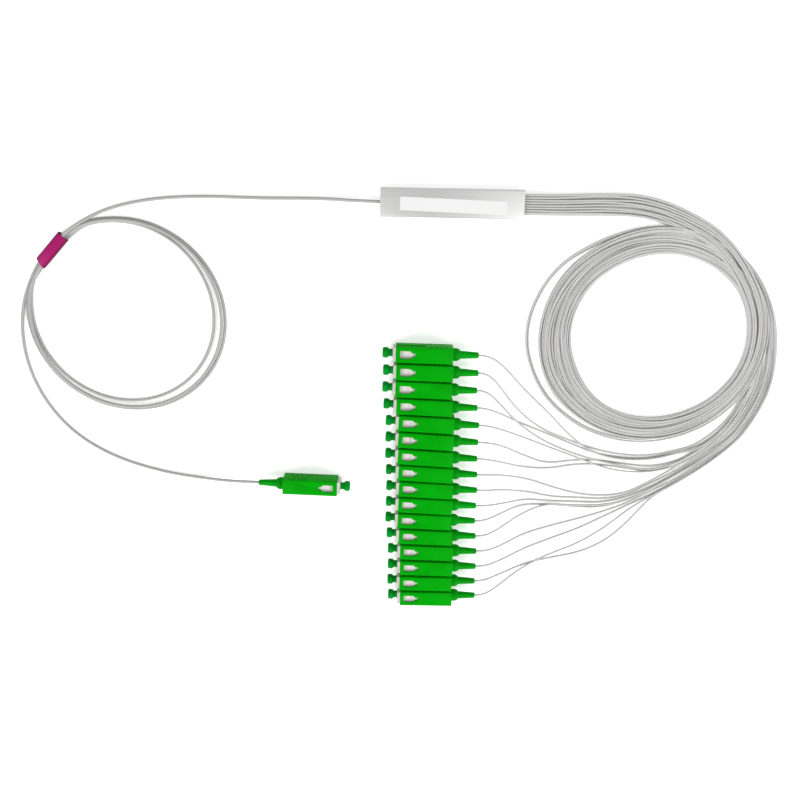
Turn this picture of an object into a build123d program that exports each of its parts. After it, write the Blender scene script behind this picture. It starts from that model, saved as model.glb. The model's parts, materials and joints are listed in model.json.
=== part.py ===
from build123d import *
import os
from math import pi, tan, radians, cos, sin

# Fibre splitter: a flat steel tube that holds the splitter chip, one cord in and sixteen cords out.
# Each cord ends in a push-pull plug under a dust cap. All sizes are in millimetres.
# The origin is the middle of the steel tube's underside. X runs along the tube towards the sixteen cords,
# Y across it, and Z up from the surface that everything lies on.

# Steel tube
tube_length = 60.0
tube_width = 12.0
tube_height = 4.0
tube_wall = 0.4
tube_corner = 0.8

# End plugs, and the clearance of every piece that is glued into another
plug_length = 5.0
plug_inset = 0.3
cord_grip = 3.0
glue_gap = 0.03

# Splitter chip, and the fibre blocks that reach from its two ends to near the end plugs
chip_length = 20.0
chip_width = 4.6
chip_height = 2.4
chip_middle = -1.0
input_block_gap = 4.7
input_block_width = 2.6
output_block_gap = 5.7
output_block_width = 6.2

# Label strip
label_length = 44.4
label_width = 5.5
label_thickness = 0.1
label_x = 0.5
label_y = -1.0
label_turn = -1.6

# Cords
input_cord = 1.4
output_cord = 0.9
output_count = 16
ribbon_layers = 2
ribbon_pitch = 1.05
bend_share = 0.45

# Plug: the outer grip
grip_length = 25.0
grip_width = 7.2
grip_height = 9.0
grip_edge = 0.4
cavity_width = 6.0
cavity_height = 7.4
cavity_length = 17.9
collar_clearance = 0.1
key_length = 12.8
key_width = 3.3
key_height = 0.4
window_front = 1.9
window_length = 4.5
window_width = 3.5
window_slope = 0.8
nose_length = 1.4
nose_width = 1.7
rib_count = 4
rib_pitch = 2.2
rib_length = 1.2
rib_height = 0.25
rib_width = 6.6
rib_start = 15.6

# Plug: the inner frame
slide_clearance = 0.1
frame_front = 1.3
frame_length = 18.5
frame_edge = 0.4
frame_bore = 4.7
frame_bore_depth = 6.0
seat_thickness = 1.5
pocket_width = 4.8
latch_pocket_length = 3.4
latch_pocket_depth = 0.5
latch_pocket_width = 2.7

# Plug: ferrule, flange, spring and stop ring
ferrule_diameter = 2.5
ferrule_length = 10.5
ferrule_tip = 1.9
tip_angle = 8.0
seat_clearance = 0.1
flange_across = 4.1
flange_length = 3.0
flange_gap = 0.1
spring_outside = 4.4
spring_inside = 3.4
spring_length = 5.7
stop_length = 2.2
stop_rim = 5.7
stop_rim_length = 0.5
stop_tail = 2.9
tail_end = 25.5

# Plug: boot
boot_front = 21.6
boot_collar_end = 26.9
boot_slope_end = 28.2
boot_start = 3.6
boot_tip = 2.6
boot_end = 36.4

# Plug: dust cap
cap_clearance = 0.03
cap_rear = 2.5
cap_skirt = 3.9
cap_neck = 3.3
cap_neck_start = 2.0
cap_neck_end = 3.0
cap_head = 4.7
cap_end = 5.8
cap_floor = 0.6

# Where each plug lies: front of its grip, and the way that its front points, in degrees from X
axis_height = grip_height / 2
input_plug = (-48.3, -127.6, -1.6)
output_plugs = [
    (-22.4, -63.7, 179.1),
    (-22.1, -71.6, 178.8),
    (-22.3, -79.4, 178.4),
    (-21.7, -87.3, 178.0),
    (-20.6, -95.2, 177.5),
    (-20.6, -103.1, 177.1),
    (-20.6, -111.1, 177.0),
    (-20.2, -119.1, 177.2),
    (-19.9, -127.1, 177.5),
    (-20.0, -135.1, 177.7),
    (-20.1, -143.1, 178.0),
    (-19.4, -151.3, 178.4),
    (-18.7, -159.5, 178.7),
    (-18.6, -167.8, 179.0),
    (-18.7, -176.1, 179.5),
    (-18.3, -184.4, 180.1),
]

# Coils: middle, half widths outside and inside, and height of the band
input_coil_middle = (-141.0, -50.4)
input_coil_outside = (43.2, 41.8)
input_coil_inside = (38.8, 37.6)
input_coil_height = 2.4
output_coil_middle = (93.9, -55.8)
output_coil_outside = (52.8, 47.9)
output_coil_hole_middle = (93.0, -56.2)
output_coil_inside = (37.7, 35.8)
output_coil_height = 2.6

# Sleeve that holds the turns of the input coil together
sleeve_middle = (-168.9, -21.9)
sleeve_turn = 46.5
sleeve_length = 15.0
sleeve_width = 5.9
sleeve_height = 3.6
sleeve_wall = 0.35
sleeve_clearance = 0.1

output_folder = "parts"
os.makedirs(output_folder, exist_ok=True)


def block(start, end, width, height):
    """A block along X, centred on the axis."""
    return Pos((start + end) / 2, 0, 0) * Box(end - start, width, height)


def turned(outline):
    """A piece turned about X, from half of its outline as (along, diameter) points."""
    profile = [(along, diameter / 2) for along, diameter in outline]
    return revolve(make_face(Polyline(*profile, close=True)), Axis.X)


def eight_sided(start, end, across):
    """A bar along X with eight flat sides, two of them level."""
    section = Plane.YZ * RegularPolygon(across / 2, 8, major_radius=False, rotation=22.5)
    return Pos(start, 0, 0) * extrude(section, amount=end - start)


def rounded_bar(length, width, height, corner):
    """A bar along X with rounded long edges, standing on Z = 0."""
    section = Plane.YZ * Pos(0, height / 2) * RectangleRounded(width, height, corner)
    return extrude(section, amount=length / 2, both=True)


# Splitter module

def steel_tube():
    outside = rounded_bar(tube_length, tube_width, tube_height, tube_corner)
    inside = rounded_bar(
        tube_length + 1,
        tube_width - 2 * tube_wall,
        tube_height - 2 * tube_wall,
        tube_corner - tube_wall,
    )
    return outside - Pos(0, 0, tube_wall) * inside


def end_plug(side, mouth_width, mouth_height, mouth_z):
    """A plug glued into one end of the tube, with a blind mouth for its cords. side is -1 or 1."""
    body = rounded_bar(
        plug_length,
        tube_width - 2 * tube_wall - 2 * glue_gap,
        tube_height - 2 * tube_wall - 2 * glue_gap,
        tube_corner - tube_wall,
    )
    face = side * (tube_length / 2 - plug_inset)
    body = Pos(face - side * plug_length / 2, 0, tube_wall + glue_gap) * body
    corner = mouth_height / 2 - 0.001
    mouth = rounded_bar(2 * cord_grip, mouth_width, mouth_height, corner)
    return body - Pos(face, 0, mouth_z - mouth_height / 2) * mouth


def chip_block(start, end, width):
    """A glass block on the tube's floor."""
    return Pos(0, 0, tube_wall + chip_height / 2) * block(start, end, width, chip_height)


def label_strip():
    strip = Box(label_length, label_width, label_thickness)
    return Pos(label_x, label_y, tube_height + label_thickness / 2) * Rot(0, 0, label_turn) * strip


# Plug pieces, each with the plug's axis along X, its front at +X and the grip's front face at X = 0

def grip():
    body = block(-grip_length, 0, grip_width, grip_height)
    body = chamfer(body.edges().filter_by(Axis.X), grip_edge)
    body = chamfer(body.faces().sort_by(Axis.X)[-1].edges(), grip_edge)
    key_y = -(grip_width + key_height) / 2
    body += Pos(-key_length / 2 - grip_edge, key_y, 0) * Box(key_length, key_height, key_width)
    for side in (-1, 1):
        rib_y = side * (grip_width + rib_height) / 2
        for i in range(rib_count):
            rib_x = -rib_start - i * rib_pitch
            body += Pos(rib_x, rib_y, 0) * Box(rib_length, rib_height, rib_width)
    body -= block(-cavity_length, 1, cavity_width, cavity_height)
    body -= eight_sided(-grip_length - 1, -cavity_length + 1, stop_rim + 2 * collar_clearance)
    body -= extrude(window_outline(), amount=grip_height, both=True)
    return body


def window_outline():
    """The latch window, wide at the front with a narrow nose at the rear."""
    wide_end = -window_front - window_length
    nose_start = wide_end - window_slope
    nose_end = nose_start - nose_length
    half, nose = window_width / 2, nose_width / 2
    return make_face(Polyline(
        (-window_front, half), (wide_end, half), (nose_start, nose), (nose_end, nose),
        (nose_end, -nose), (nose_start, -nose), (wide_end, -half), (-window_front, -half),
        close=True,
    ))


def plug_frame():
    width = cavity_width - 2 * slide_clearance
    height = cavity_height - 2 * slide_clearance
    frame_rear = frame_front - frame_length
    seat_front = frame_front - frame_bore_depth
    seat_rear = seat_front - seat_thickness
    body = block(frame_rear, frame_front, width, height)
    body = chamfer(body.faces().sort_by(Axis.X)[-1].edges(), frame_edge)
    body -= turned([(seat_front, 0), (frame_front + 1, 0), (frame_front + 1, frame_bore),
                    (seat_front, frame_bore)])
    body -= eight_sided(seat_rear - 1, seat_front + 1, ferrule_diameter + 2 * seat_clearance)
    body -= block(frame_rear - 1, seat_rear, pocket_width, pocket_width)
    pocket_middle = -window_front - window_length / 2
    for side in (-1, 1):
        pocket_z = side * (height - latch_pocket_depth) / 2
        pocket = Box(latch_pocket_length, latch_pocket_width, latch_pocket_depth)
        body -= Pos(pocket_middle, 0, pocket_z) * pocket
    return body


def flange_front():
    """Where the flange meets the rear of the frame's seat."""
    return frame_front - frame_bore_depth - seat_thickness - flange_gap


def ferrule():
    rear = ferrule_tip - ferrule_length
    body = turned([(rear, 0), (ferrule_tip, 0), (ferrule_tip, ferrule_diameter),
                   (rear, ferrule_diameter)])
    reach = ferrule_diameter / 2 * tan(radians(tip_angle))
    slope = (cos(radians(tip_angle)), 0, sin(radians(tip_angle)))
    tip_plane = Plane(origin=(ferrule_tip - reach, 0, 0), z_dir=slope)
    return split(body, tip_plane, keep=Keep.BOTTOM)


def ferrule_flange():
    front = flange_front()
    section = Plane.YZ * RegularPolygon(flange_across / 2, 6, major_radius=False)
    body = Pos(front - flange_length, 0, 0) * extrude(section, amount=flange_length)
    return body - eight_sided(ferrule_tip - ferrule_length, front + 1, ferrule_diameter + 2 * glue_gap)


def spring():
    """Stands in for the coil spring behind the flange, as a sleeve of its outer and inner size."""
    front = flange_front() - flange_length
    rear = front - spring_length
    return eight_sided(rear, front, spring_outside) - eight_sided(rear - 1, front + 1, spring_inside)


def stop_ring():
    frame_rear = frame_front - frame_length
    rim_rear = frame_rear - stop_rim_length
    width = pocket_width - 2 * glue_gap
    body = block(frame_rear, frame_rear + stop_length, width, width)
    body += eight_sided(rim_rear, frame_rear, stop_rim)
    return body + block(-tail_end, rim_rear, stop_tail, stop_tail)


def boot():
    body = turned([
        (-boot_end, 0), (-boot_front, 0), (-boot_front, stop_rim), (-boot_collar_end, stop_rim),
        (-boot_slope_end, boot_start), (-boot_end, boot_tip),
    ])
    socket = stop_tail + 2 * glue_gap
    return body - block(-tail_end, -boot_front + 1, socket, socket)


def dust_cap():
    bore = ferrule_diameter + 2 * cap_clearance
    bore_end = ferrule_tip + cap_floor
    return turned([
        (-cap_rear, bore), (bore_end, bore), (bore_end, 0), (cap_end, 0), (cap_end, cap_head),
        (cap_neck_end, cap_head), (cap_neck_end, cap_neck), (cap_neck_start, cap_neck),
        (cap_neck_start, cap_skirt), (-cap_rear, cap_skirt),
    ])


def placed(plug):
    """The place of a plug's own frame."""
    x, y, heading = plug
    return Pos(x, y, axis_height) * Rot(0, 0, heading)


def boot_mouth(plug, beyond=0.0):
    """A point on a plug's axis, at the boot's tip or that far beyond it."""
    x, y, heading = plug
    reach = boot_end + beyond
    return (x - reach * cos(radians(heading)), y - reach * sin(radians(heading)), axis_height)


# Cords

def route(points):
    """Straight runs joined by tangent arcs, each as large as its two runs allow."""
    runs = [Vector(*b) - Vector(*a) for a, b in zip(points, points[1:])]
    radii = []
    for before, after in zip(runs, runs[1:]):
        half_turn = radians(before.get_angle(after)) / 2
        radii.append(bend_share * min(before.length, after.length) / tan(half_turn))
    return FilletPolyline(*points, radius=radii), radii


def cord(name, points, diameter):
    """A round cord along its route."""
    path, radii = route(points)
    section = (path ^ 0) * Circle(diameter / 2)
    body = sweep(section, path=path)
    stated = pi * diameter ** 2 / 4 * path.length
    print(name, "length", round(path.length, 1), "radii", [round(r, 1) for r in radii],
          "volume share", round(body.volume / stated, 4))
    return body


input_cord_z = input_cord / 2
lead_z = tube_height / 2
lead_points = [
    (-(tube_length / 2 - plug_inset - cord_grip), 0, lead_z),
    (-40.0, 0.2, lead_z),
    (-56.0, 0.9, input_cord_z),
    (-80.0, 0.4, input_cord_z),
    (-104.0, 0.9, input_cord_z),
    (-125.0, -0.4, input_cord_z),
    (-143.0, -4.6, input_cord_z + 0.2),
    (-155.0, -10.4, input_cord_z + 0.8),
    (-163.3, -16.6, input_cord_z + 1.1),
]

input_tail_points = [
    (-174.6, -27.6, input_cord_z + 1.0),
    (-180.4, -35.0, input_cord_z + 0.4),
    (-185.6, -47.0, input_cord_z),
    (-187.6, -62.0, input_cord_z),
    (-185.6, -78.0, input_cord_z),
    (-179.0, -93.4, input_cord_z),
    (-167.8, -106.8, input_cord_z),
    (-151.0, -117.2, input_cord_z),
    (-130.0, -123.8, input_cord_z),
    (-112.0, -126.4, 1.0),
    (-98.0, -126.9, 3.0),
    boot_mouth(input_plug, 5.0),
    boot_mouth(input_plug),
]

# Sixteen cords side by side in two layers, from the tube to the coil
ribbon_width = output_count / ribbon_layers * ribbon_pitch
ribbon_height = ribbon_layers * output_cord
ribbon_z = ribbon_height / 2
ribbon_points = [
    (tube_length / 2 - plug_inset - cord_grip, 0, lead_z),
    (34.0, 0, lead_z),
    (46.0, 0, ribbon_z),
    (64.0, 0.9, ribbon_z),
    (82.0, 0.2, ribbon_z),
    (99.0, -5.4, ribbon_z),
    (113.0, -14.2, ribbon_z),
]

# Height of a cord that lies on the surface, and of one that lies on top of others
low = output_cord / 2
high = low + output_cord + 0.1

# The tails gather in two bundles, which join in one trunk on the way to the coil. Each station is the
# middle of the bundle, the way it runs in degrees from X, the lane at its middle and the lanes' pitch.
upper_bundle = [
    (83.8, -115.3, -8, 1.5, 2.0),
    (97.1, -116.6, 6, 1.5, 1.4),
    (109.2, -112.8, 22, 1.5, 0.98),
]
lower_bundle = [
    (88.3, -134.5, 20, 7, 1.4),
    (98.6, -129.1, 33, 7, 1.0),
    (109.3, -121.3, 39, 7, 0.98),
]
trunk = [
    (120.0, -110.1, 38, 5, 0.98),
    (131.4, -100.5, 50, 5, 0.98),
    (137.2, -89.5, 67, 5, 0.98),
    (140.8, -77.8, 79, 5, 0.98),
    (142.1, -66.7, 90, 5, 0.98),
    (140.6, -58.0, 100, 5, 0.98),
]
upper_stations = upper_bundle + trunk
lower_stations = lower_bundle + trunk

# Each tail's own way from its boot to its bundle, then its lane there, counted from the inside of the
# bend, its height and the stations that it passes
tails = [
    ([(25.0, -68.4, 3.6), (36.0, -80.6, 2.0), (47.5, -91.0, high), (58.5, -102.4, high),
      (70.0, -110.6, high)], 1.5, high, upper_stations),
    ([(23.6, -77.4, 3.6), (32.6, -89.4, 1.6), (44.2, -99.0, low), (57.0, -104.2, low),
      (70.5, -108.8, low)], 0, low, upper_stations),
    ([(23.6, -85.2, 3.6), (32.6, -95.2, 2.0), (44.0, -103.6, high), (57.0, -109.6, high),
      (70.0, -113.6, high)], 2.5, high, upper_stations),
    ([(25.4, -91.6, 2.6), (36.6, -97.2, low), (48.4, -101.8, low), (60.0, -106.6, low),
      (71.0, -111.0, low)], 1, low, upper_stations),
    ([(27.4, -99.4, 3.0), (38.6, -103.8, high), (50.6, -108.4, high), (62.4, -112.6, high),
      (73.0, -116.8, high)], 3.5, high, upper_stations),
    ([(27.0, -106.8, 3.0), (37.6, -112.4, low), (48.6, -116.4, low), (60.5, -114.4, low),
      (72.0, -114.0, low)], 2, low, upper_stations),
    ([(27.2, -115.0, 3.0), (38.0, -118.4, low), (50.0, -118.9, low), (61.5, -116.4, low),
      (72.5, -116.2, low)], 3, low, upper_stations),
    ([(28.4, -121.4, 3.0), (40.0, -124.0, low), (53.0, -128.4, low), (65.5, -131.6, low),
      (77.0, -132.2, low)], 4, low, lower_stations),
    ([(28.8, -128.8, 3.0), (40.6, -130.6, low), (52.5, -133.2, low), (65.0, -133.3, low),
      (77.0, -133.9, low)], 5, low, lower_stations),
    ([(28.6, -136.0, 3.0), (39.5, -134.5, low), (51.5, -135.3, low), (64.0, -135.4, low),
      (76.5, -135.6, low)], 6, low, lower_stations),
    ([(27.0, -141.8, 3.2), (37.6, -137.4, low), (50.0, -136.9, low), (63.0, -138.0, low),
      (76.0, -138.3, low)], 7, low, lower_stations),
    ([(27.6, -149.4, 3.2), (37.6, -141.8, 2.0), (49.0, -136.4, high), (62.0, -136.8, high),
      (75.5, -136.6, high)], 6.5, high, lower_stations),
    ([(28.8, -158.4, 3.0), (40.0, -152.8, low), (53.0, -148.2, low), (66.0, -144.3, low),
      (77.5, -140.4, low)], 8, low, lower_stations),
    ([(29.2, -166.2, 3.0), (41.0, -160.6, low), (54.0, -154.8, low), (66.5, -149.4, low),
      (78.0, -142.9, low)], 9, low, lower_stations),
    ([(29.2, -173.8, 2.8), (42.0, -168.6, low), (55.0, -165.2, low), (68.0, -162.2, low),
      (79.5, -156.2, low), (88.5, -147.2, low), (95.5, -137.6, low)], 10, low, lower_stations[1:]),
    ([(28.6, -180.4, 3.4), (38.8, -171.4, 2.0), (51.5, -163.6, high), (65.0, -157.8, high),
      (77.5, -149.4, high)], 9.5, high, lower_stations),
]
boot_lead_out = 4.0


def in_lane(station, lane, height):
    """Where a lane passes a station of its bundle."""
    x, y, heading, middle_lane, pitch = station
    out = (lane - middle_lane) * pitch
    return (x + out * sin(radians(heading)), y - out * cos(radians(heading)), height)


def ribbon_cords():
    """The outer shape of the cords between the tube and the coil."""
    path, radii = route(ribbon_points)
    print("output_ribbon length", round(path.length, 1), "radii", [round(r, 1) for r in radii])
    section = Plane(origin=path @ 0, x_dir=(0, 1, 0), z_dir=path % 0)
    corner = ribbon_height / 2 - 0.001
    return sweep(section * RectangleRounded(ribbon_width, ribbon_height, corner), path=path)


def tail_cords():
    cords = []
    for number, (plug, (own_way, lane, height, stations)) in enumerate(zip(output_plugs, tails), 1):
        points = [boot_mouth(plug), boot_mouth(plug, boot_lead_out)] + own_way
        points += [in_lane(station, lane, height) for station in stations]
        cords.append(cord(f"output tail {number}", points, output_cord))
    return Compound(children=cords)


def ring(middle, outside, hole_middle, inside, height):
    """The outer shape of a coil of cord."""
    band = Pos(*middle) * Ellipse(*outside) - Pos(*hole_middle) * Ellipse(*inside)
    return extrude(band, amount=height)


def sleeve_place():
    return Pos(*sleeve_middle, 0) * Rot(0, 0, sleeve_turn)


def coil_sleeve():
    corner = sleeve_height / 2 - 0.001
    hole_height = sleeve_height - 2 * sleeve_wall
    outside = rounded_bar(sleeve_length, sleeve_width, sleeve_height, corner)
    hole = rounded_bar(sleeve_length + 1, sleeve_width - 2 * sleeve_wall, hole_height, corner - sleeve_wall)
    return sleeve_place() * (outside - Pos(0, 0, sleeve_wall) * hole)


def input_coil():
    """The band of turns, drawn together where it passes through the sleeve."""
    body = ring(input_coil_middle, input_coil_outside, input_coil_middle, input_coil_inside,
                input_coil_height)
    space = sleeve_length + 2 * sleeve_clearance
    room = Pos(0, 0, sleeve_height / 2) * Box(space, 3 * sleeve_width, 2 * sleeve_height)
    body -= sleeve_place() * room
    inner = sleeve_wall + sleeve_clearance
    width, height = sleeve_width - 2 * inner, sleeve_height - 2 * inner
    neck = rounded_bar(space + 2 * input_cord, width, height, height / 2 - 0.001)
    return body + sleeve_place() * Pos(0, 0, inner) * neck


# Files, one for each piece

def write(name, shape):
    export_step(shape, f"{output_folder}/{name}.step")


write("steel_tube", steel_tube())
write("input_end_plug", end_plug(-1, input_cord + 2 * glue_gap, input_cord + 2 * glue_gap, lead_z))
write("output_end_plug", end_plug(1, ribbon_width + 2 * glue_gap, ribbon_height + 2 * glue_gap, lead_z))
chip_start, chip_end = chip_middle - chip_length / 2, chip_middle + chip_length / 2
plug_face = tube_length / 2 - plug_inset - plug_length
write("splitter_chip", chip_block(chip_start, chip_end, chip_width))
write("input_fibre_array", chip_block(input_block_gap - plug_face, chip_start, input_block_width))
write("output_fibre_array", chip_block(chip_end, plug_face - output_block_gap, output_block_width))
write("tube_label", label_strip())

write("input_lead", cord("input lead", lead_points, input_cord))
write("input_coil", input_coil())
write("coil_sleeve", coil_sleeve())
write("input_tail", cord("input tail", input_tail_points, input_cord))
write("output_ribbon", ribbon_cords())
write("output_coil", ring(output_coil_middle, output_coil_outside, output_coil_hole_middle,
                          output_coil_inside, output_coil_height))
write("output_tails", tail_cords())

moving_pieces = {"grip": grip(), "dust_cap": dust_cap()}
fixed_pieces = {
    "plug_frame": plug_frame(),
    "ferrule": ferrule(),
    "ferrule_flange": ferrule_flange(),
    "spring": spring(),
    "stop_ring": stop_ring(),
    "boot": boot(),
}
for name, piece in (moving_pieces | fixed_pieces).items():
    write(f"input_{name}", placed(input_plug) * piece)
for name, piece in moving_pieces.items():
    for number, plug in enumerate(output_plugs, 1):
        write(f"output_{name}_{number:02d}", placed(plug) * piece)
for name, piece in fixed_pieces.items():
    write(f"output_{name}s", Compound(children=[placed(plug) * piece for plug in output_plugs]))
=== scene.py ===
"""Fibre splitter: a flat steel tube, one cord in and sixteen cords out, each with a push-pull plug.

Sizes are written in millimetres, as in the part's source, and every piece is placed in metres.
"""
import json
from math import cos, pi, radians, sin

import bmesh
import bpy
from mathutils import Matrix, Vector


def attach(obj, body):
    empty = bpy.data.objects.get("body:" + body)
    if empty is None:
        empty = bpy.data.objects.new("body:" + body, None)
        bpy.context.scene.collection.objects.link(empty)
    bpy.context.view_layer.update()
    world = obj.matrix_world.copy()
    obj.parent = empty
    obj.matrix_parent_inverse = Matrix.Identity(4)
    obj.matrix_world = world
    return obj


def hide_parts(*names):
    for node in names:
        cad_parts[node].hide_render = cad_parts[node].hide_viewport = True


mm = 0.001

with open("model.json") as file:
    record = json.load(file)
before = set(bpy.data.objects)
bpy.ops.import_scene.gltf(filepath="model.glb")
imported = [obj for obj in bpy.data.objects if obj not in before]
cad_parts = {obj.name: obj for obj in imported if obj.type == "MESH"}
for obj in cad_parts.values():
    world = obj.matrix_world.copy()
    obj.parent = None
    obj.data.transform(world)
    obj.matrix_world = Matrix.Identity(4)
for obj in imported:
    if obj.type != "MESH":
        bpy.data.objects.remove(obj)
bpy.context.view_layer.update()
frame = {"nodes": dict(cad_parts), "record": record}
cad = frame["nodes"]
scene = bpy.context.scene
scene.view_settings.view_transform = "Standard"


# Camera, above the table and leaning towards the plugs

camera_place = Vector((-21.95, 9.63, 315.58))
lean, turn = radians(17), radians(1.1)
right = Vector((cos(turn), sin(turn), 0))
up = Vector((-sin(turn) * cos(lean), cos(turn) * cos(lean), -sin(lean)))
axes = Matrix((right, up, right.cross(up))).transposed().to_4x4()

lens = bpy.data.cameras.new("camera")
lens.sensor_width = 36
lens.lens = 32.67
lens.clip_start = 0.01
camera = bpy.data.objects.new("camera", lens)
scene.collection.objects.link(camera)
camera.matrix_world = Matrix.Translation(camera_place * mm) @ axes
scene.camera = camera


# The sleeve on the input coil

sleeve_middle, sleeve_turn = Vector((-168.9, -21.9)), radians(46.5)
sleeve_along = Vector((cos(sleeve_turn), sin(sleeve_turn)))
sleeve_out = Vector((-sin(sleeve_turn), cos(sleeve_turn)))
sleeve_length, sleeve_width, sleeve_height = 15, 5.1, 3.6
sleeve_wall, sleeve_slant = 0.35, 0.33


# Finishes

class Term:
    """A value in a finish's nodes, so that its maths reads as an expression."""

    def __init__(self, finish, socket):
        self.finish = finish
        self.socket = socket

    def maths(self, operation, left, right):
        return self.finish.node("ShaderNodeMath", {"operation": operation}, {0: left, 1: right})

    def __add__(self, other):
        return self.maths("ADD", self, other)

    def __radd__(self, other):
        return self.maths("ADD", other, self)

    def __mul__(self, other):
        return self.maths("MULTIPLY", self, other)

    def __rmul__(self, other):
        return self.maths("MULTIPLY", other, self)


class Finish:
    """The material of one kind of surface."""

    # The sockets of a Mix node that mixes colours
    mix_share, mix_first, mix_second, mix_result = 0, 6, 7, 2

    def __init__(self, name, **fixed):
        self.material = bpy.data.materials.new(name)
        self.material.use_nodes = True
        self.tree = self.material.node_tree
        self.tree.nodes.clear()
        self.shader = self.tree.nodes.new("ShaderNodeBsdfPrincipled")
        sheet = self.tree.nodes.new("ShaderNodeOutputMaterial")
        self.tree.links.new(self.shader.outputs[0], sheet.inputs["Surface"])
        self.set(**fixed)

    def node(self, kind, settings=None, values=None, output=0):
        """Adds a node, with its settings first and then its sockets' values or links."""
        made = self.tree.nodes.new(kind)
        for name, value in (settings or {}).items():
            if name == "stops":
                ramp = made.color_ramp
                while len(ramp.elements) < len(value):
                    ramp.elements.new(1)
                for element, (place, level) in zip(ramp.elements, value):
                    element.position = place
                    element.color = (level, level, level, 1)
            else:
                setattr(made, name, value)
        for name, value in (values or {}).items():
            self.join(made.inputs[name], value)
        return Term(self, made.outputs[output])

    def join(self, socket, value):
        if isinstance(value, Term):
            self.tree.links.new(value.socket, socket)
        else:
            socket.default_value = value

    def set(self, **values):
        """Sets the shader's sockets, named with _ for a space."""
        for name, value in values.items():
            self.join(self.shader.inputs[name.replace("_", " ")], value)

    def grain(self, size, stretch=(1, 1, 1), detail=2.0, rough=0.5):
        """Noise with patches of about that size in millimetres, from 0 to 1."""
        place = self.node("ShaderNodeTexCoord", output="Object")
        place = self.node("ShaderNodeMapping", values={"Vector": place, "Scale": stretch})
        return self.node("ShaderNodeTexNoise", values={
            "Vector": place, "Scale": 1 / (size * mm), "Detail": detail, "Roughness": rough})

    def steps(self, value, *stops):
        """A grey ramp through (place, level) stops."""
        return self.node("ShaderNodeValToRGB", {"stops": stops}, {"Fac": value})

    def blend(self, share, first, second):
        """Mixes two colours, each written out or a node's result."""
        first, second = (tone if isinstance(tone, Term) else (*tone, 1) for tone in (first, second))
        return self.node(
            "ShaderNodeMix", {"data_type": "RGBA"},
            {self.mix_share: share, self.mix_first: first, self.mix_second: second}, self.mix_result)

    def bumps(self, height, depth):
        """Relief of that depth in millimetres."""
        return self.node("ShaderNodeBump", values={"Height": height, "Distance": depth * mm, "Strength": 1.0})


def brushed_steel():
    """Satin steel with fine streaks along the tube."""
    finish = Finish("satin_steel", Metallic=1.0)
    streaks = finish.grain(1.2, (0.02, 1, 1), 4, 0.65)
    cloud = finish.grain(14, detail=3)
    finish.set(
        Base_Color=finish.blend(streaks, (0.50, 0.50, 0.495), (0.62, 0.62, 0.61)),
        Roughness=0.38 + 0.10 * streaks + 0.08 * cloud,
        Normal=finish.bumps(streaks, 0.004),
    )
    return finish.material


def moulded(name, dark, light, rough, relief=0.006, shine=0.09):
    """Moulded plastic: slow changes of tone, and a fine skin that breaks the shine."""
    finish = Finish(name, Specular_IOR_Level=shine)
    tone = finish.grain(9, detail=3)
    skin = finish.grain(0.35, detail=3, rough=0.6)
    finish.set(
        Base_Color=finish.blend(finish.steps(tone, (0.3, 0), (0.7, 1)), dark, light),
        Roughness=rough + 0.1 * skin + 0.06 * tone,
        Normal=finish.bumps(skin, relief),
    )
    return finish.material


def cord_jacket(name, dark, light):
    """Thin extruded jacket: semi-matt, a little cloudy along its length."""
    finish = Finish(name, Specular_IOR_Level=0.25)
    cloud = finish.grain(5, detail=3)
    skin = finish.grain(0.2, detail=2)
    finish.set(
        Base_Color=finish.blend(cloud, dark, light),
        Roughness=0.38 + 0.14 * skin,
        Normal=finish.bumps(skin, 0.001),
    )
    return finish.material


def shrink_film():
    """Thin soft tube over the cords, with painted shade: its colour darkens towards each long side, where its
    wall turns down.
    """
    finish = Finish("sleeve_magenta", Specular_IOR_Level=0.1)
    place = finish.node("ShaderNodeTexCoord", output="Object")
    from_middle = finish.node("ShaderNodeVectorMath", {"operation": "SUBTRACT"},
                              {0: place, 1: (*sleeve_middle * mm, 0)})
    aside = finish.node("ShaderNodeVectorMath", {"operation": "DOT_PRODUCT"},
                        {0: from_middle, 1: (*sleeve_out, 0)}, "Value")
    aside = finish.node("ShaderNodeMath", {"operation": "ABSOLUTE"}, {0: aside})
    # Painted shade: a mask that rises across the outer part of each long side, towards the sleeve's edges
    edge = finish.steps(aside * (1 / (sleeve_width * mm / 2)), (0.62, 0), (0.95, 1))
    tone = finish.grain(5, detail=3)
    folds = finish.grain(1.6, detail=2)
    body = finish.blend(tone, (0.36, 0.007, 0.115), (0.44, 0.016, 0.175))
    finish.set(
        # Painted shade: along each long side the colour blends to this dark magenta
        Base_Color=finish.blend(edge, body, (0.15, 0.003, 0.05)),
        Roughness=0.34 + 0.12 * folds,
        Normal=finish.bumps(folds, 0.05),
    )
    return finish.material


def label_film():
    """Bare white label strip, with a faint grain along it."""
    finish = Finish("label_film", Specular_IOR_Level=0.4)
    fibres = finish.grain(0.25, (0.4, 1, 1), 4, 0.6)
    finish.set(
        Base_Color=finish.blend(fibres, (0.86, 0.86, 0.85), (0.91, 0.91, 0.905)),
        Roughness=0.42 + 0.15 * fibres,
        Normal=finish.bumps(fibres, 0.003),
    )
    return finish.material


def polished_glass():
    """The glass of the chip and its fibre blocks."""
    finish = Finish("chip_glass", Transmission_Weight=0.7, IOR=1.46)
    haze = finish.grain(3, detail=2)
    finish.set(
        Base_Color=finish.blend(haze, (0.70, 0.80, 0.82), (0.82, 0.88, 0.90)),
        Roughness=0.06 + 0.10 * haze,
    )
    return finish.material


def plated(name, dark, light, rough):
    """Small turned or wound metal, a little worn."""
    finish = Finish(name, Metallic=1.0)
    wear = finish.grain(1.5, detail=4, rough=0.6)
    finish.set(
        Base_Color=finish.blend(wear, dark, light),
        Roughness=rough + 0.15 * wear,
        Normal=finish.bumps(wear, 0.003),
    )
    return finish.material


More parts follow.
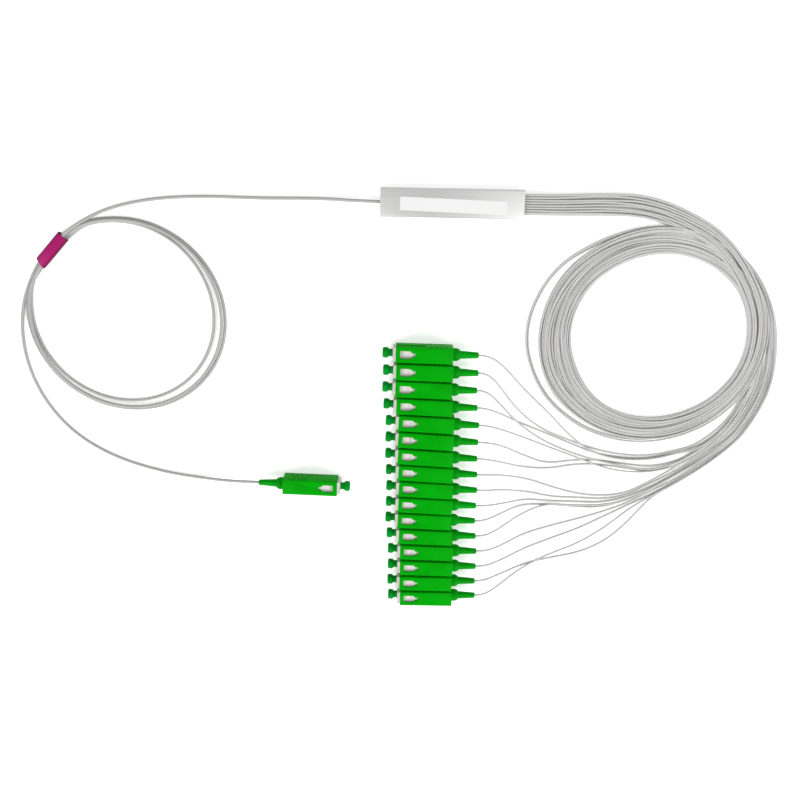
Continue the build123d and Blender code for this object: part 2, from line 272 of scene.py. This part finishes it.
finishes = {
    "satin_steel": brushed_steel(),
    "plug_resin": moulded("plug_resin", (0.66, 0.66, 0.62), (0.76, 0.76, 0.72), 0.35),
    "chip_glass": polished_glass(),
    "label_film": label_film(),
    "input_cord_jacket": cord_jacket("input_cord_jacket", (0.44, 0.44, 0.43), (0.50, 0.495, 0.485)),
    "output_cord_jacket": cord_jacket("output_cord_jacket", (0.57, 0.57, 0.56), (0.64, 0.635, 0.625)),
    "sleeve_magenta": shrink_film(),
    "grip_green": moulded("grip_green", (0.0, 0.34, 0.001), (0.0, 0.40, 0.003), 0.34, shine=0.045),
    "boot_green": moulded("boot_green", (0.0, 0.29, 0.003), (0.0, 0.38, 0.008), 0.42, 0.012, shine=0.05),
    "cap_green": moulded("cap_green", (0.0, 0.25, 0.012), (0.0, 0.34, 0.03), 0.36, shine=0.06),
    "frame_white": moulded("frame_white", (0.76, 0.70, 0.68), (0.84, 0.79, 0.775), 0.36),
    "ferrule_ceramic": moulded("ferrule_ceramic", (0.80, 0.80, 0.78), (0.87, 0.87, 0.85), 0.10, 0.001),
    "flange_metal": plated("flange_metal", (0.50, 0.50, 0.49), (0.66, 0.66, 0.65), 0.25),
    "spring_steel": plated("spring_steel", (0.40, 0.40, 0.40), (0.58, 0.58, 0.58), 0.22),
}
slot_of = {row["node"]: row["material_slot"] for row in frame["record"]["subparts"]}
for node, piece in cad.items():
    piece.data.materials.clear()
    piece.data.materials.append(finishes[slot_of[node]])


# Sizes that cords and pieces share

tube_length, tube_width, tube_height, tube_wall = 60, 12, 4, 0.4
tube_middle = 2.0
tube_end = 29.7
cord_grip = 3.0
input_cord = 1.4
output_cord = 0.9
axis_height = 4.5
boot_end = 36.4

# Each plug's place: X and Y of its grip's front, and the way its axis points in degrees from X
input_plug = (-48.3, -127.6, -1.6)
output_plugs = [
    (-22.4, -63.7, 179.1), (-22.1, -71.6, 178.8), (-22.3, -79.4, 178.4), (-21.7, -87.3, 178.0),
    (-20.6, -95.2, 177.5), (-20.6, -103.1, 177.1), (-20.6, -111.1, 177.0), (-20.2, -119.1, 177.2),
    (-19.9, -127.1, 177.5), (-20.0, -135.1, 177.7), (-20.1, -143.1, 178.0), (-19.4, -151.3, 178.4),
    (-18.7, -159.5, 178.7), (-18.6, -167.8, 179.0), (-18.7, -176.1, 179.5), (-18.3, -184.4, 180.1),
]


# Cords

def boot_mouth(plug, beyond=0.0):
    """A point on a plug's axis, at its boot's tip or that far beyond it."""
    x, y, heading = plug
    reach = boot_end + beyond
    return (x - reach * cos(radians(heading)), y - reach * sin(radians(heading)), axis_height)


def free_cord(name, points, diameter, finish, body, nodes):
    """A cord on one smooth curve, which stands for its solids."""
    line = bpy.data.curves.new(name, "CURVE")
    line.dimensions = "3D"
    line.bevel_depth = diameter * mm / 2
    line.bevel_resolution = 3
    line.resolution_u = 8
    line.use_fill_caps = True
    spline = line.splines.new("NURBS")
    spline.points.add(len(points) - 1)
    for control, (x, y, z) in zip(spline.points, points):
        control.co = (x * mm, y * mm, z * mm, 1)
    spline.order_u = 3
    spline.use_endpoint_u = True
    line.materials.append(finishes[finish])
    piece = bpy.data.objects.new(name, line)
    scene.collection.objects.link(piece)
    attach(piece, body)
    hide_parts(*nodes)
    return piece


# Such a curve stays inside its control points, so those of a turn lie farther out than the cord does
turn_step = 30
swell = 1 / cos(radians(turn_step / 2))

# The input cord: from the tube to the sleeve, three turns, and out of the sleeve to its plug
input_lead = [
    (-(tube_end - cord_grip), 0, tube_middle), (-40.0, 0.2, 2.0), (-56.0, 0.9, 0.7), (-80.0, 0.4, 0.7),
    (-104.0, 0.9, 0.7), (-125.0, -0.4, 0.7), (-143.0, -4.3, 1.4), (-155.0, -9.8, 2.3),
]
input_tail = [
    (-180.4, -35.0, 1.0), (-185.6, -47.0, 0.7), (-187.6, -62.0, 0.7), (-185.6, -78.0, 0.7),
    (-179.0, -93.4, 0.7), (-167.8, -106.8, 0.7), (-151.0, -117.2, 0.7), (-130.0, -123.8, 0.7),
    (-112.0, -126.4, 1.0), (-98.0, -126.9, 3.0), boot_mouth(input_plug, 5.0), boot_mouth(input_plug),
]
# Where each of the four passes enters and leaves the sleeve, outwards from its middle, and its height
sleeve_passes = [(0.7, -0.5, 2.5), (-1.35, -0.95, 1.1), (0, 0.15, 1.1), (1.35, 1.25, 1.1)]
pass_reach = 7
# The middle, half widths and height of each turn, which runs through angles clockwise from the top
input_turns = [
    ((-142.0, -49.5), (39.6, 39.5), 0.7),
    ((-140.6, -50.6), (41.7, 41.2), 1.7),
    ((-140.5, -50.8), (43.0, 42.1), 0.7),
]
turn_angles = range(285, -45, -turn_step)


def through_sleeve(number):
    """The two points of one pass through the sleeve."""
    enters, leaves, z = sleeve_passes[number]
    first = sleeve_middle + pass_reach * sleeve_along + enters * sleeve_out
    last = sleeve_middle - pass_reach * sleeve_along + leaves * sleeve_out
    return [(*first, z), (*last, z)]


def input_route():
    """The input cord's control points, from the tube to its plug."""
    points = input_lead + through_sleeve(0)
    for number, (middle, half, z) in enumerate(input_turns, 1):
        for angle in turn_angles:
            reach = Vector((sin(radians(angle)) * half[0], cos(radians(angle)) * half[1])) * swell
            points.append((middle[0] + reach.x, middle[1] + reach.y, z))
        points += through_sleeve(number)
    return points + input_tail


# The output cords lie in two layers
low = output_cord / 2
high = low + output_cord + 0.1

# They are laid from the boots back to the tube. A station is the middle of a bundle, the way it runs in
# degrees from X, the lane at its middle and the lanes' pitch.
upper_bundle = [
    (83.8, -112.4, -8, 0.75, 1.1), (97.1, -112.5, 5, 0.75, 1.0), (108.8, -109.0, 20, 0.75, 1.0),
]
middle_bundle = [
    (83.8, -117.4, -10, 2.75, 1.9), (97.1, -118.6, 5, 2.75, 1.8), (109.8, -114.6, 27, 2.75, 1.4),
]
lower_bundle = [
    (88.3, -134.3, 20, 7, 1.4), (98.3, -128.6, 33, 7, 1.2), (109.4, -121.5, 39, 7, 1.2),
]
trunk = [
    (120.3, -110.4, 38, 5, 1.12), (131.4, -100.7, 50, 5, 1.1), (137.5, -89.6, 66, 5, 1.08),
    (141.2, -77.8, 78, 5, 1.08), (142.3, -66.7, 90, 5, 1.05),
]
upper_stations = upper_bundle + trunk
middle_stations = middle_bundle + trunk
lower_stations = lower_bundle + trunk
# Each tail's own points, its lane in its bundle, its height there and the bundle's stations
tails = [
    ([(25.0, -68.4, 3.6), (36.0, -80.6, 2.0), (47.5, -91.0, high), (58.5, -102.4, high),
      (70.0, -110.6, high)], 1.5, high, upper_stations),
    ([(23.6, -77.4, 3.6), (32.6, -89.4, 1.6), (44.2, -99.0, low), (57.0, -104.2, low),
      (70.5, -108.8, low)], 0, low, upper_stations),
    ([(23.6, -85.2, 3.6), (32.6, -95.2, 2.0), (44.0, -103.6, high), (57.0, -109.6, high),
      (70.0, -113.6, high)], 2.5, high, middle_stations),
    ([(25.4, -91.6, 2.6), (36.6, -97.2, low), (48.4, -101.8, low), (60.0, -106.6, low),
      (71.0, -111.0, low)], 1, low, upper_stations),
    ([(27.4, -99.4, 3.0), (38.6, -103.8, high), (50.6, -108.4, high), (62.4, -112.6, high),
      (73.0, -116.8, high)], 3.5, high, middle_stations),
    ([(27.0, -106.8, 3.0), (37.6, -112.4, low), (48.6, -116.4, low), (60.5, -114.4, low),
      (72.0, -114.0, low)], 2, low, middle_stations),
    ([(27.2, -115.0, 3.0), (38.0, -118.4, low), (50.0, -118.9, low), (61.5, -116.4, low),
      (72.5, -116.2, low)], 3, low, middle_stations),
    ([(28.4, -121.4, 3.0), (40.0, -124.0, low), (53.0, -128.4, low), (65.5, -131.6, low),
      (77.0, -132.2, low)], 4, low, lower_stations),
    ([(28.8, -128.8, 3.0), (40.6, -130.6, low), (52.5, -133.2, low), (65.0, -133.3, low),
      (77.0, -133.9, low)], 5, low, lower_stations),
    ([(28.6, -136.0, 3.0), (39.5, -134.5, low), (51.5, -135.3, low), (64.0, -135.4, low),
      (76.5, -135.6, low)], 6, low, lower_stations),
    ([(27.0, -141.8, 3.2), (37.6, -137.4, low), (50.0, -136.9, low), (63.0, -138.0, low),
      (76.0, -138.3, low)], 7, low, lower_stations),
    ([(27.6, -149.4, 3.2), (37.6, -141.8, 2.0), (49.0, -136.4, high), (62.0, -136.8, high),
      (75.5, -136.6, high)], 6.5, high, lower_stations),
    ([(28.8, -158.4, 3.0), (40.0, -152.8, low), (53.0, -148.2, low), (66.0, -144.3, low),
      (77.5, -140.4, low)], 8, low, lower_stations),
    ([(29.2, -166.2, 3.0), (41.0, -160.6, low), (54.0, -154.8, low), (66.5, -149.4, low),
      (78.0, -142.9, low)], 9, low, lower_stations),
    ([(29.2, -173.8, 2.8), (42.0, -168.6, low), (55.0, -165.2, low), (68.0, -162.2, low),
      (79.5, -156.2, low), (88.5, -147.2, low), (95.5, -137.6, low)], 10, low, lower_stations[1:]),
    ([(28.6, -180.4, 3.4), (38.8, -171.4, 2.0), (51.5, -163.6, high), (65.0, -157.8, high),
      (77.5, -149.4, high)], 9.5, high, lower_stations),
]
boot_lead_out = 4.0

# The coil, in the order from the tails to the ribbon. Its cords go round twice. A station is the angle
# clockwise from the top, the inner and outer radius of the band and the outer radius of the two that stray.
coil_middle = (93.0, -56.0)
coil_stations = [
    (76, 40.6, 50.6, 50.6), (48, 37.6, 48.6, 48.6), (20, 36.6, 47.8, 47.8),
    (-8, 36.4, 48.6, 48.6), (-35, 37.0, 49.4, 50.6), (-60, 38.6, 51.8, 56.4),
    (-88, 38.0, 52.5, 59.0), (-116, 36.4, 51.6, 55.6), (-143, 36.6, 48.4, 51.4),
    (-170, 36.2, 46.8, 48.8), (-198, 36.2, 46.6, 47.8), (-226, 37.6, 46.8, 48.0),
    (-254, 38.9, 47.2, 48.4), (-281, 38.8, 46.9, 48.0), (-308, 38.4, 46.6, 47.6),
    (-336, 36.7, 47.2, 47.6), (-363, 36.4, 48.0, 48.4), (-390, 36.9, 49.0, 49.6),
    (-416, 38.2, 51.4, 51.6), (-443, 38.4, 52.6, 53.0), (-470, 36.8, 52.0, 52.4),
    (-497, 36.5, 49.0, 49.6), (-525, 36.2, 47.0, 47.4), (-553, 36.2, 46.6, 47.0),
    (-582, 37.5, 46.6, 47.0), (-611, 38.9, 47.0, 47.2), (-640, 38.8, 46.9, 47.2),
    (-667, 38.6, 46.4, 47.4), (-693, 42.0, 49.8, 50.8),
]
lane_order = [2, 1, 4, 3, 6, 5, 7, 8, 9, 10, 12, 11, 13, 16, 14, 15]
last_rank = 15
first_stray = 14
second_turn = -300
# Each turn ends on top of its start: the cords climb by turn_rise from each of two angles on
turn_rise, rise_angles, rise_length = 0.8, (-200, -560), 54

# Groups of three cords drift across each other, the middle groups by the most lanes
group_size, group_span = 3, 5.5
coil_drift = 1.35
# Every second group and every second cord lie a little higher
group_lift, cord_lift = 0.5, 0.3
# How far each cord wanders, in lanes or in height
lane_wander, height_wander, bundle_wander = 0.25, 0.12, 0.28
# How a swing goes on from station to station, and from group to group or cord to cord, in radians
group_swing, lane_swing, height_swing, bundle_swing = (0.72, 2.2), (1.9, 2.3), (2.7, 1.0), (2.1, 1.7)

# A ribbon station also has how far its three strands are apart, in lanes, and how much its cords wander.
ribbon = [
    (99.0, -5.4, 172, 1.4, 0.1, 0.25), (82.0, 0.2, 178, 0.9, 0.3, 0.3), (64.0, 0.9, 181, 0.9, 0.35, 0.25),
    (46.0, 0, 180, 0.9, 0.1, 0.12), (34.0, 0, 180, 2.0, 0, 0),
    (tube_end - cord_grip, 0, 180, tube_middle, 0, 0),
]
ribbon_pitch = 1.03
ribbon_layers = 2
strand_size = 6


def swing(change, count, member):
    """A smooth swing between -1 and 1 along the stations, different for each member."""
    return sin(change[0] * count + change[1] * member)


def in_lane(station, lane, height):
    """Where a lane passes a station of its bundle."""
    x, y, heading, middle_lane, pitch = station
    out = (lane - middle_lane) * pitch
    return (x + out * sin(radians(heading)), y - out * cos(radians(heading)), height)


def stack_height(angle):
    """How much higher than the floor's cords the coil's lowest cords lie at that angle."""
    return turn_rise * sum(min(max((start - angle) / rise_length, 0), 1) for start in rise_angles)


def round_coil(rank):
    """One cord's way round the coil. The last two cords stray from the band in their first turn."""
    points = []
    group = rank // group_size
    drift = coil_drift * sin(pi * (group + 0.5) / group_span)
    for count, (angle, inner, outer, stray) in enumerate(coil_stations):
        second = angle < second_turn
        if rank < first_stray or second:
            last_lane = last_rank if second else first_stray - 1
            lane = rank + drift * swing(group_swing, count, group)
            lane += lane_wander * swing(lane_swing, count, rank)
            lane = min(max(lane, 0), last_lane)
            radius = inner + output_cord / 2 + (outer - inner - output_cord) * lane / last_lane
        else:
            radius = stray - output_cord * (last_rank + 0.5 - rank)
        z = (low + stack_height(angle) + group_lift * (group % 2) + cord_lift * (rank % 2)
             + height_wander * swing(height_swing, count, rank))
        reach = radius * swell
        x, y = coil_middle
        points.append((x + reach * sin(radians(angle)), y + reach * cos(radians(angle)), max(z, low)))
    return points


def output_route(number):
    """An output cord's control points, from the tube to its plug."""
    plug = output_plugs[number - 1]
    own_way, lane, height, stations = tails[number - 1]
    rank = lane_order.index(number)
    points = [boot_mouth(plug), boot_mouth(plug, boot_lead_out)] + own_way
    for count, station in enumerate(stations):
        wander = bundle_wander * swing(bundle_swing, count, number)
        points.append(in_lane(station, lane + wander, height))
    points += round_coil(rank)
    for count, (x, y, heading, z, apart, wander) in enumerate(ribbon):
        lane = (rank - last_rank / 2) / ribbon_layers + apart * (rank // strand_size - 1)
        lane += wander * swing(bundle_swing, count, rank)
        layer = (rank % ribbon_layers - 0.5) * output_cord
        points.append(in_lane((x, y, heading, 0, ribbon_pitch), lane, z + layer))
    return points[::-1]


input_cord_piece = free_cord("input_cord", input_route(), input_cord, "input_cord_jacket", "splitter",
                             ["input_lead", "input_coil", "input_tail"])
output_cord_pieces = [
    free_cord(f"output_cord_{number:02d}", output_route(number), output_cord, "output_cord_jacket",
              "splitter", ["output_ribbon", "output_coil", "output_tails"])
    for number in range(1, len(output_plugs) + 1)
]


# Forms, in millimetres. A plug's pieces have its axis along X, its front at +X, and its grip's front at 0.

# How far a cut goes past a face, and the steps of a full turn
past = 1.0
round_steps = 48


def bar(start, end, width, height):
    """A block along X."""
    bm = bmesh.new()
    bmesh.ops.create_cube(bm, size=1)
    bmesh.ops.scale(bm, vec=(end - start, width, height), verts=bm.verts)
    bmesh.ops.translate(bm, vec=((start + end) / 2, 0, 0), verts=bm.verts)
    return bm


def moved(bm, x=0, y=0, z=0):
    """Moves a form and gives it back."""
    bmesh.ops.translate(bm, vec=(x, y, z), verts=bm.verts)
    return bm


def round_long_edges(bm, radius, segments):
    """Rounds the edges that run along X."""
    along = [e for e in bm.edges if abs((e.verts[0].co - e.verts[1].co).normalized().x) > 0.99]
    bmesh.ops.bevel(bm, geom=along, offset=radius, offset_type="OFFSET", affect="EDGES", segments=segments,
                    profile=0.5, material=-1)
    return bm


def turned(outline, closed=False):
    """A form turned about X from (along, diameter) points."""
    bm = bmesh.new()
    corners = [bm.verts.new((along, 0, diameter / 2)) for along, diameter in outline]
    ends = corners[1:] + corners[:1] if closed else corners[1:]
    sides = [bm.edges.new(pair) for pair in zip(corners, ends)]
    bmesh.ops.spin(bm, geom=corners + sides, cent=(0, 0, 0), axis=(1, 0, 0), angle=2 * pi,
                   steps=round_steps, use_merge=True)
    bmesh.ops.remove_doubles(bm, verts=bm.verts, dist=0.001)
    bmesh.ops.recalc_face_normals(bm, faces=bm.faces)
    return bm


def pin(start, end, diameter):
    """A round bar along X."""
    return turned([(start, 0), (start, diameter), (end, diameter), (end, 0)])


def as_object(bm):
    """Makes a form an object, to cut or to be cut."""
    mesh = bpy.data.meshes.new("form")
    bm.to_mesh(mesh)
    bm.free()
    made = bpy.data.objects.new("form", mesh)
    scene.collection.objects.link(made)
    return made


def shaped(bm, edge, cuts=(), adds=()):
    """The mesh of a form with its cuts and additions made and its edges softened by that much."""
    form = as_object(bm)
    tools = [(as_object(cut), "DIFFERENCE") for cut in cuts] + [(as_object(add), "UNION") for add in adds]
    for tool, operation in tools:
        step = form.modifiers.new("cut", "BOOLEAN")
        step.operation = operation
        step.solver = "EXACT"
        step.object = tool
    soft = form.modifiers.new("edge", "BEVEL")
    soft.width = edge
    soft.segments = 2
    soft.limit_method = "ANGLE"
    soft.angle_limit = radians(28)
    graph = bpy.context.evaluated_depsgraph_get()
    mesh = bpy.data.meshes.new_from_object(form.evaluated_get(graph))
    for done in [form] + [tool for tool, _ in tools]:
        bpy.data.objects.remove(done)
    mesh.shade_smooth()
    mesh.set_sharp_from_angle(angle=radians(40))
    return mesh


grip_length, grip_width, grip_height = 25.0, 7.2, 9.0
grip_cavity = 17.9
rib_count, first_rib, rib_pitch = 4, -15.6, 2.2
# The grip's rear hole takes the boot's collar, and is wider where the stop ring's rim passes
collar_hole, rim_hole, rim_rear, rim_front = 5.9, 6.4, -18.6, -17
frame_front, frame_rear, frame_width, frame_height = 1.3, -17.2, 5.8, 7.2
slide_room = 0.2
frame_bore, bore_floor = 4.7, -4.7
ferrule_hole, hole_rear = 2.7, -8
frame_rear_hole, rear_hole_front = 4.8, -6.2
# The fits of cap and boot: the ferrule, the stop ring's tail and the play at each side
ferrule_size, ring_tail, fit = 2.5, 3.4, 0.03
# One side of the latch window, from its front to its rear
window_side = [(-1.9, 1.75), (-6.4, 1.75), (-7.2, 0.85), (-8.6, 0.85)]


def window_block():
    """The latch window, wide at the front with a nose at the rear, as a block that goes through the grip."""
    depth = 6
    bm = bmesh.new()
    outline = window_side + [(x, -y) for x, y in reversed(window_side)]
    face = bm.faces.new([bm.verts.new((x, y, -depth)) for x, y in outline])
    raised = bmesh.ops.extrude_face_region(bm, geom=[face])["geom"]
    corners = [part for part in raised if isinstance(part, bmesh.types.BMVert)]
    bmesh.ops.translate(bm, vec=(0, 0, 2 * depth), verts=corners)
    bmesh.ops.recalc_face_normals(bm, faces=bm.faces)
    return bm


def grip_form():
    """The outer grip: a box round the frame, with its latch window, a key and four ribs a side."""
    body = round_long_edges(bar(-grip_length, 0, grip_width, grip_height), 0.4, 2)
    rib_places = [(first_rib - rib_pitch * count, side * grip_width / 2)
                  for side in (-1, 1) for count in range(rib_count)]
    ribs = [moved(bar(-0.6, 0.6, 0.5, 6.6), x, y) for x, y in rib_places]
    key = moved(bar(-13.2, -0.4, 0.8, 3.3), y=-grip_width / 2)
    cavity = bar(-grip_cavity, past, frame_width + slide_room, frame_height + slide_room)
    rear = turned([(-grip_length - past, 0), (-grip_length - past, collar_hole), (rim_rear, collar_hole),
                   (rim_rear, rim_hole), (rim_front, rim_hole), (rim_front, 0)])
    return shaped(body, 0.12, cuts=[cavity, rear, window_block()], adds=[key] + ribs)


def frame_form():
    """The plug frame: a front bore, a hole for the ferrule, a square rear and two latch pockets."""
    body = bar(frame_rear, frame_front, frame_width, frame_height)
    bore = pin(bore_floor, 2, frame_bore)
    hole = pin(hole_rear, 0, ferrule_hole)
    rear = bar(-19, rear_hole_front, frame_rear_hole, frame_rear_hole)
    pockets = [moved(bar(-5.85, -2.45, 2.7, 0.5), z=side * 3.5) for side in (-1, 1)]
    return shaped(body, 0.22, cuts=[bore, hole, rear] + pockets)


def boot_form():
    """The boot: a collar over the stop ring's tail, then a taper down to the cord."""
    collar_bore = ring_tail + 2 * fit
    bore = [(-boot_end, 1.0), (-25.5, 1.0), (-25.5, collar_bore), (-21.6, collar_bore)]
    outside = [(-21.6, 5.7), (-26.9, 5.7), (-28.2, 4.5), (-28.2, 3.6), (-boot_end, 2.6)]
    return shaped(turned(bore + outside, closed=True), 0.16)


def dust_cap_form():
    """The dust cap: a sleeve on the ferrule, a neck and a head."""
    cap_bore = ferrule_size + 2 * fit
    bore = [(-2.5, cap_bore), (2.5, cap_bore), (2.5, 0.0)]
    head = [(5.8, 0.0), (5.8, 3.7), (5.3, 4.7), (3.6, 4.7)]
    neck_and_sleeve = [(3.0, 3.3), (2.0, 3.3), (1.3, 3.9), (-2.5, 3.9)]
    return shaped(turned(bore + head + neck_and_sleeve, closed=True), 0.14)


def place_of(plug):
    """The place of a plug, for forms in millimetres."""
    x, y, heading = plug
    place = Matrix.Translation((x * mm, y * mm, axis_height * mm))
    return place @ Matrix.Rotation(radians(heading), 4, "Z") @ Matrix.Scale(mm, 4)


def put(name, mesh, place, finish, body, *nodes):
    """Adds a piece with its place in its mesh."""
    mesh = mesh.copy()
    mesh.transform(place)
    mesh.materials.clear()
    mesh.materials.append(finishes[finish])
    piece = bpy.data.objects.new(name, mesh)
    scene.collection.objects.link(piece)
    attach(piece, body)
    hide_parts(*nodes)
    return piece


grip_mesh, frame_mesh, boot_mesh, cap_mesh = grip_form(), frame_form(), boot_form(), dust_cap_form()


def plug_pieces(plug, kind, tag, number="", several=""):
    """The shown pieces of one plug. number ends the nodes that move, and several those that plugs share."""
    place = place_of(plug)
    grip_node, cap_node = f"{kind}_grip{number}", f"{kind}_dust_cap{number}"
    return [
        put(f"grip_{tag}", grip_mesh, place, "grip_green", grip_node, grip_node),
        put(f"dust_cap_{tag}", cap_mesh, place, "cap_green", cap_node, cap_node),
        put(f"plug_frame_{tag}", frame_mesh, place, "frame_white", "splitter", f"{kind}_plug_frame{several}"),
        put(f"boot_{tag}", boot_mesh, place, "boot_green", "splitter", f"{kind}_boot{several}"),
    ]


input_pieces = plug_pieces(input_plug, "input", "input")
output_pieces = [plug_pieces(plug, "output", f"{number:02d}", f"_{number:02d}", "s")
                 for number, plug in enumerate(output_plugs, 1)]


# Splitter module

def tube_form():
    """The steel tube, open at both ends, with rounded long edges."""
    half = tube_length / 2
    body = round_long_edges(moved(bar(-half, half, tube_width, tube_height), z=tube_middle), 0.8, 6)
    inside = bar(-half - past, half + past, tube_width - 2 * tube_wall, tube_height - 2 * tube_wall)
    hollow = round_long_edges(moved(inside, z=tube_middle), 0.4, 4)
    return shaped(body, 0.06, cuts=[hollow])


put("tube", tube_form(), Matrix.Scale(mm, 4), "satin_steel", "splitter", "steel_tube")


# Sleeve round the input coil

def sleeve_form():
    """A flattened tube with one end cut at a slant."""
    half, middle = sleeve_length / 2, sleeve_height / 2
    body = round_long_edges(moved(bar(-half, half, sleeve_width, sleeve_height), z=middle), 1.7, 8)
    for corner in body.verts:
        if corner.co.x < 0:
            corner.co.x += sleeve_slant * (corner.co.y - sleeve_width / 2)
    inside = bar(-12, 9, sleeve_width - 2 * sleeve_wall, sleeve_height - 2 * sleeve_wall)
    hollow = round_long_edges(moved(inside, z=middle), 1.4, 8)
    return shaped(body, 0.12, cuts=[hollow])


sleeve_place = (Matrix.Translation((*sleeve_middle * mm, 0)) @ Matrix.Rotation(sleeve_turn, 4, "Z")
                @ Matrix.Scale(mm, 4))
sleeve = put("sleeve", sleeve_form(), sleeve_place, "sleeve_magenta", "splitter", "coil_sleeve")


# The length along each free cord's route, which nothing here uses further

def route_length(points):
    """The length in metres of the curve on these points, which cuts its corners a little."""
    return 0.98 * mm * sum((Vector(b) - Vector(a)).length for a, b in zip(points, points[1:]))


route_length(input_route())
for number, (piece, pieces) in enumerate(zip(output_cord_pieces, output_pieces), 1):
    route_length(output_route(number))


# Floor and light

def floor_piece():
    """The table top: lit by the lamps and, where it is looked at or mirrored, a little by itself."""
    half_size, below = 1.5, 0.02
    bm = bmesh.new()
    bmesh.ops.create_grid(bm, x_segments=1, y_segments=1, size=half_size)
    mesh = bpy.data.meshes.new("floor")
    bm.to_mesh(mesh)
    bm.free()
    finish = Finish("floor", Specular_IOR_Level=0.1, Roughness=0.9, Emission_Strength=1.0)
    tone = finish.grain(300)
    seen = finish.node("ShaderNodeLightPath", output="Is Camera Ray")
    for ray in ("Is Glossy Ray", "Is Transmission Ray"):
        seen = seen + finish.node("ShaderNodeLightPath", output=ray)
    finish.set(
        Base_Color=finish.blend(tone, (0.90, 0.90, 0.90), (0.92, 0.92, 0.92)),
        Emission_Color=finish.blend(seen, (0, 0, 0), (0.5, 0.5, 0.5)),
    )
    mesh.materials.append(finish.material)
    floor = bpy.data.objects.new("floor", mesh)
    scene.collection.objects.link(floor)
    floor.location.z = -below * mm


floor_piece()


def lamp(name, place, aim, size, power):
    """A soft square lamp."""
    light = bpy.data.lights.new(name, "AREA")
    light.shape = "SQUARE"
    light.size = size
    light.energy = power
    made = bpy.data.objects.new(name, light)
    scene.collection.objects.link(made)
    made.location = place
    made.rotation_euler = (Vector(aim) - Vector(place)).to_track_quat("-Z", "Y").to_euler()


lamp("left", (-1.10, -0.75, 0.90), (-0.05, -0.08, 0), 0.6, 12.5)
lamp("right", (1.10, -0.75, 0.90), (0.05, -0.08, 0), 0.6, 12.5)
lamp("overhead", (0.66, 0.10, 0.95), (0.05, -0.05, 0), 0.9, 1.5)

# The surroundings give little light, but look white directly and pale in steel and glass
sky_light, sky_look = 0.42, 0.8
world = bpy.data.worlds.new("world")
world.use_nodes = True
nodes, links = world.node_tree.nodes, world.node_tree.links
rays = nodes.new("ShaderNodeLightPath")


def world_maths(operation, *values):
    """Adds a Math node to the world and gives its result."""
    made = nodes.new("ShaderNodeMath")
    made.operation = operation
    for socket, value in zip(made.inputs, values):
        if isinstance(value, float):
            socket.default_value = value
        else:
            links.new(value, socket)
    return made.outputs[0]


mirrored = world_maths("MAXIMUM", rays.outputs["Is Glossy Ray"], rays.outputs["Is Transmission Ray"])
level = world_maths("MULTIPLY_ADD", mirrored, sky_look - sky_light, sky_light)
level = world_maths("MULTIPLY_ADD", rays.outputs["Is Camera Ray"], 1.0 - sky_light, level)
sky = nodes["Background"]
sky.inputs["Color"].default_value = (0.99, 0.995, 1.0, 1)
links.new(level, sky.inputs["Strength"])
scene.world = world
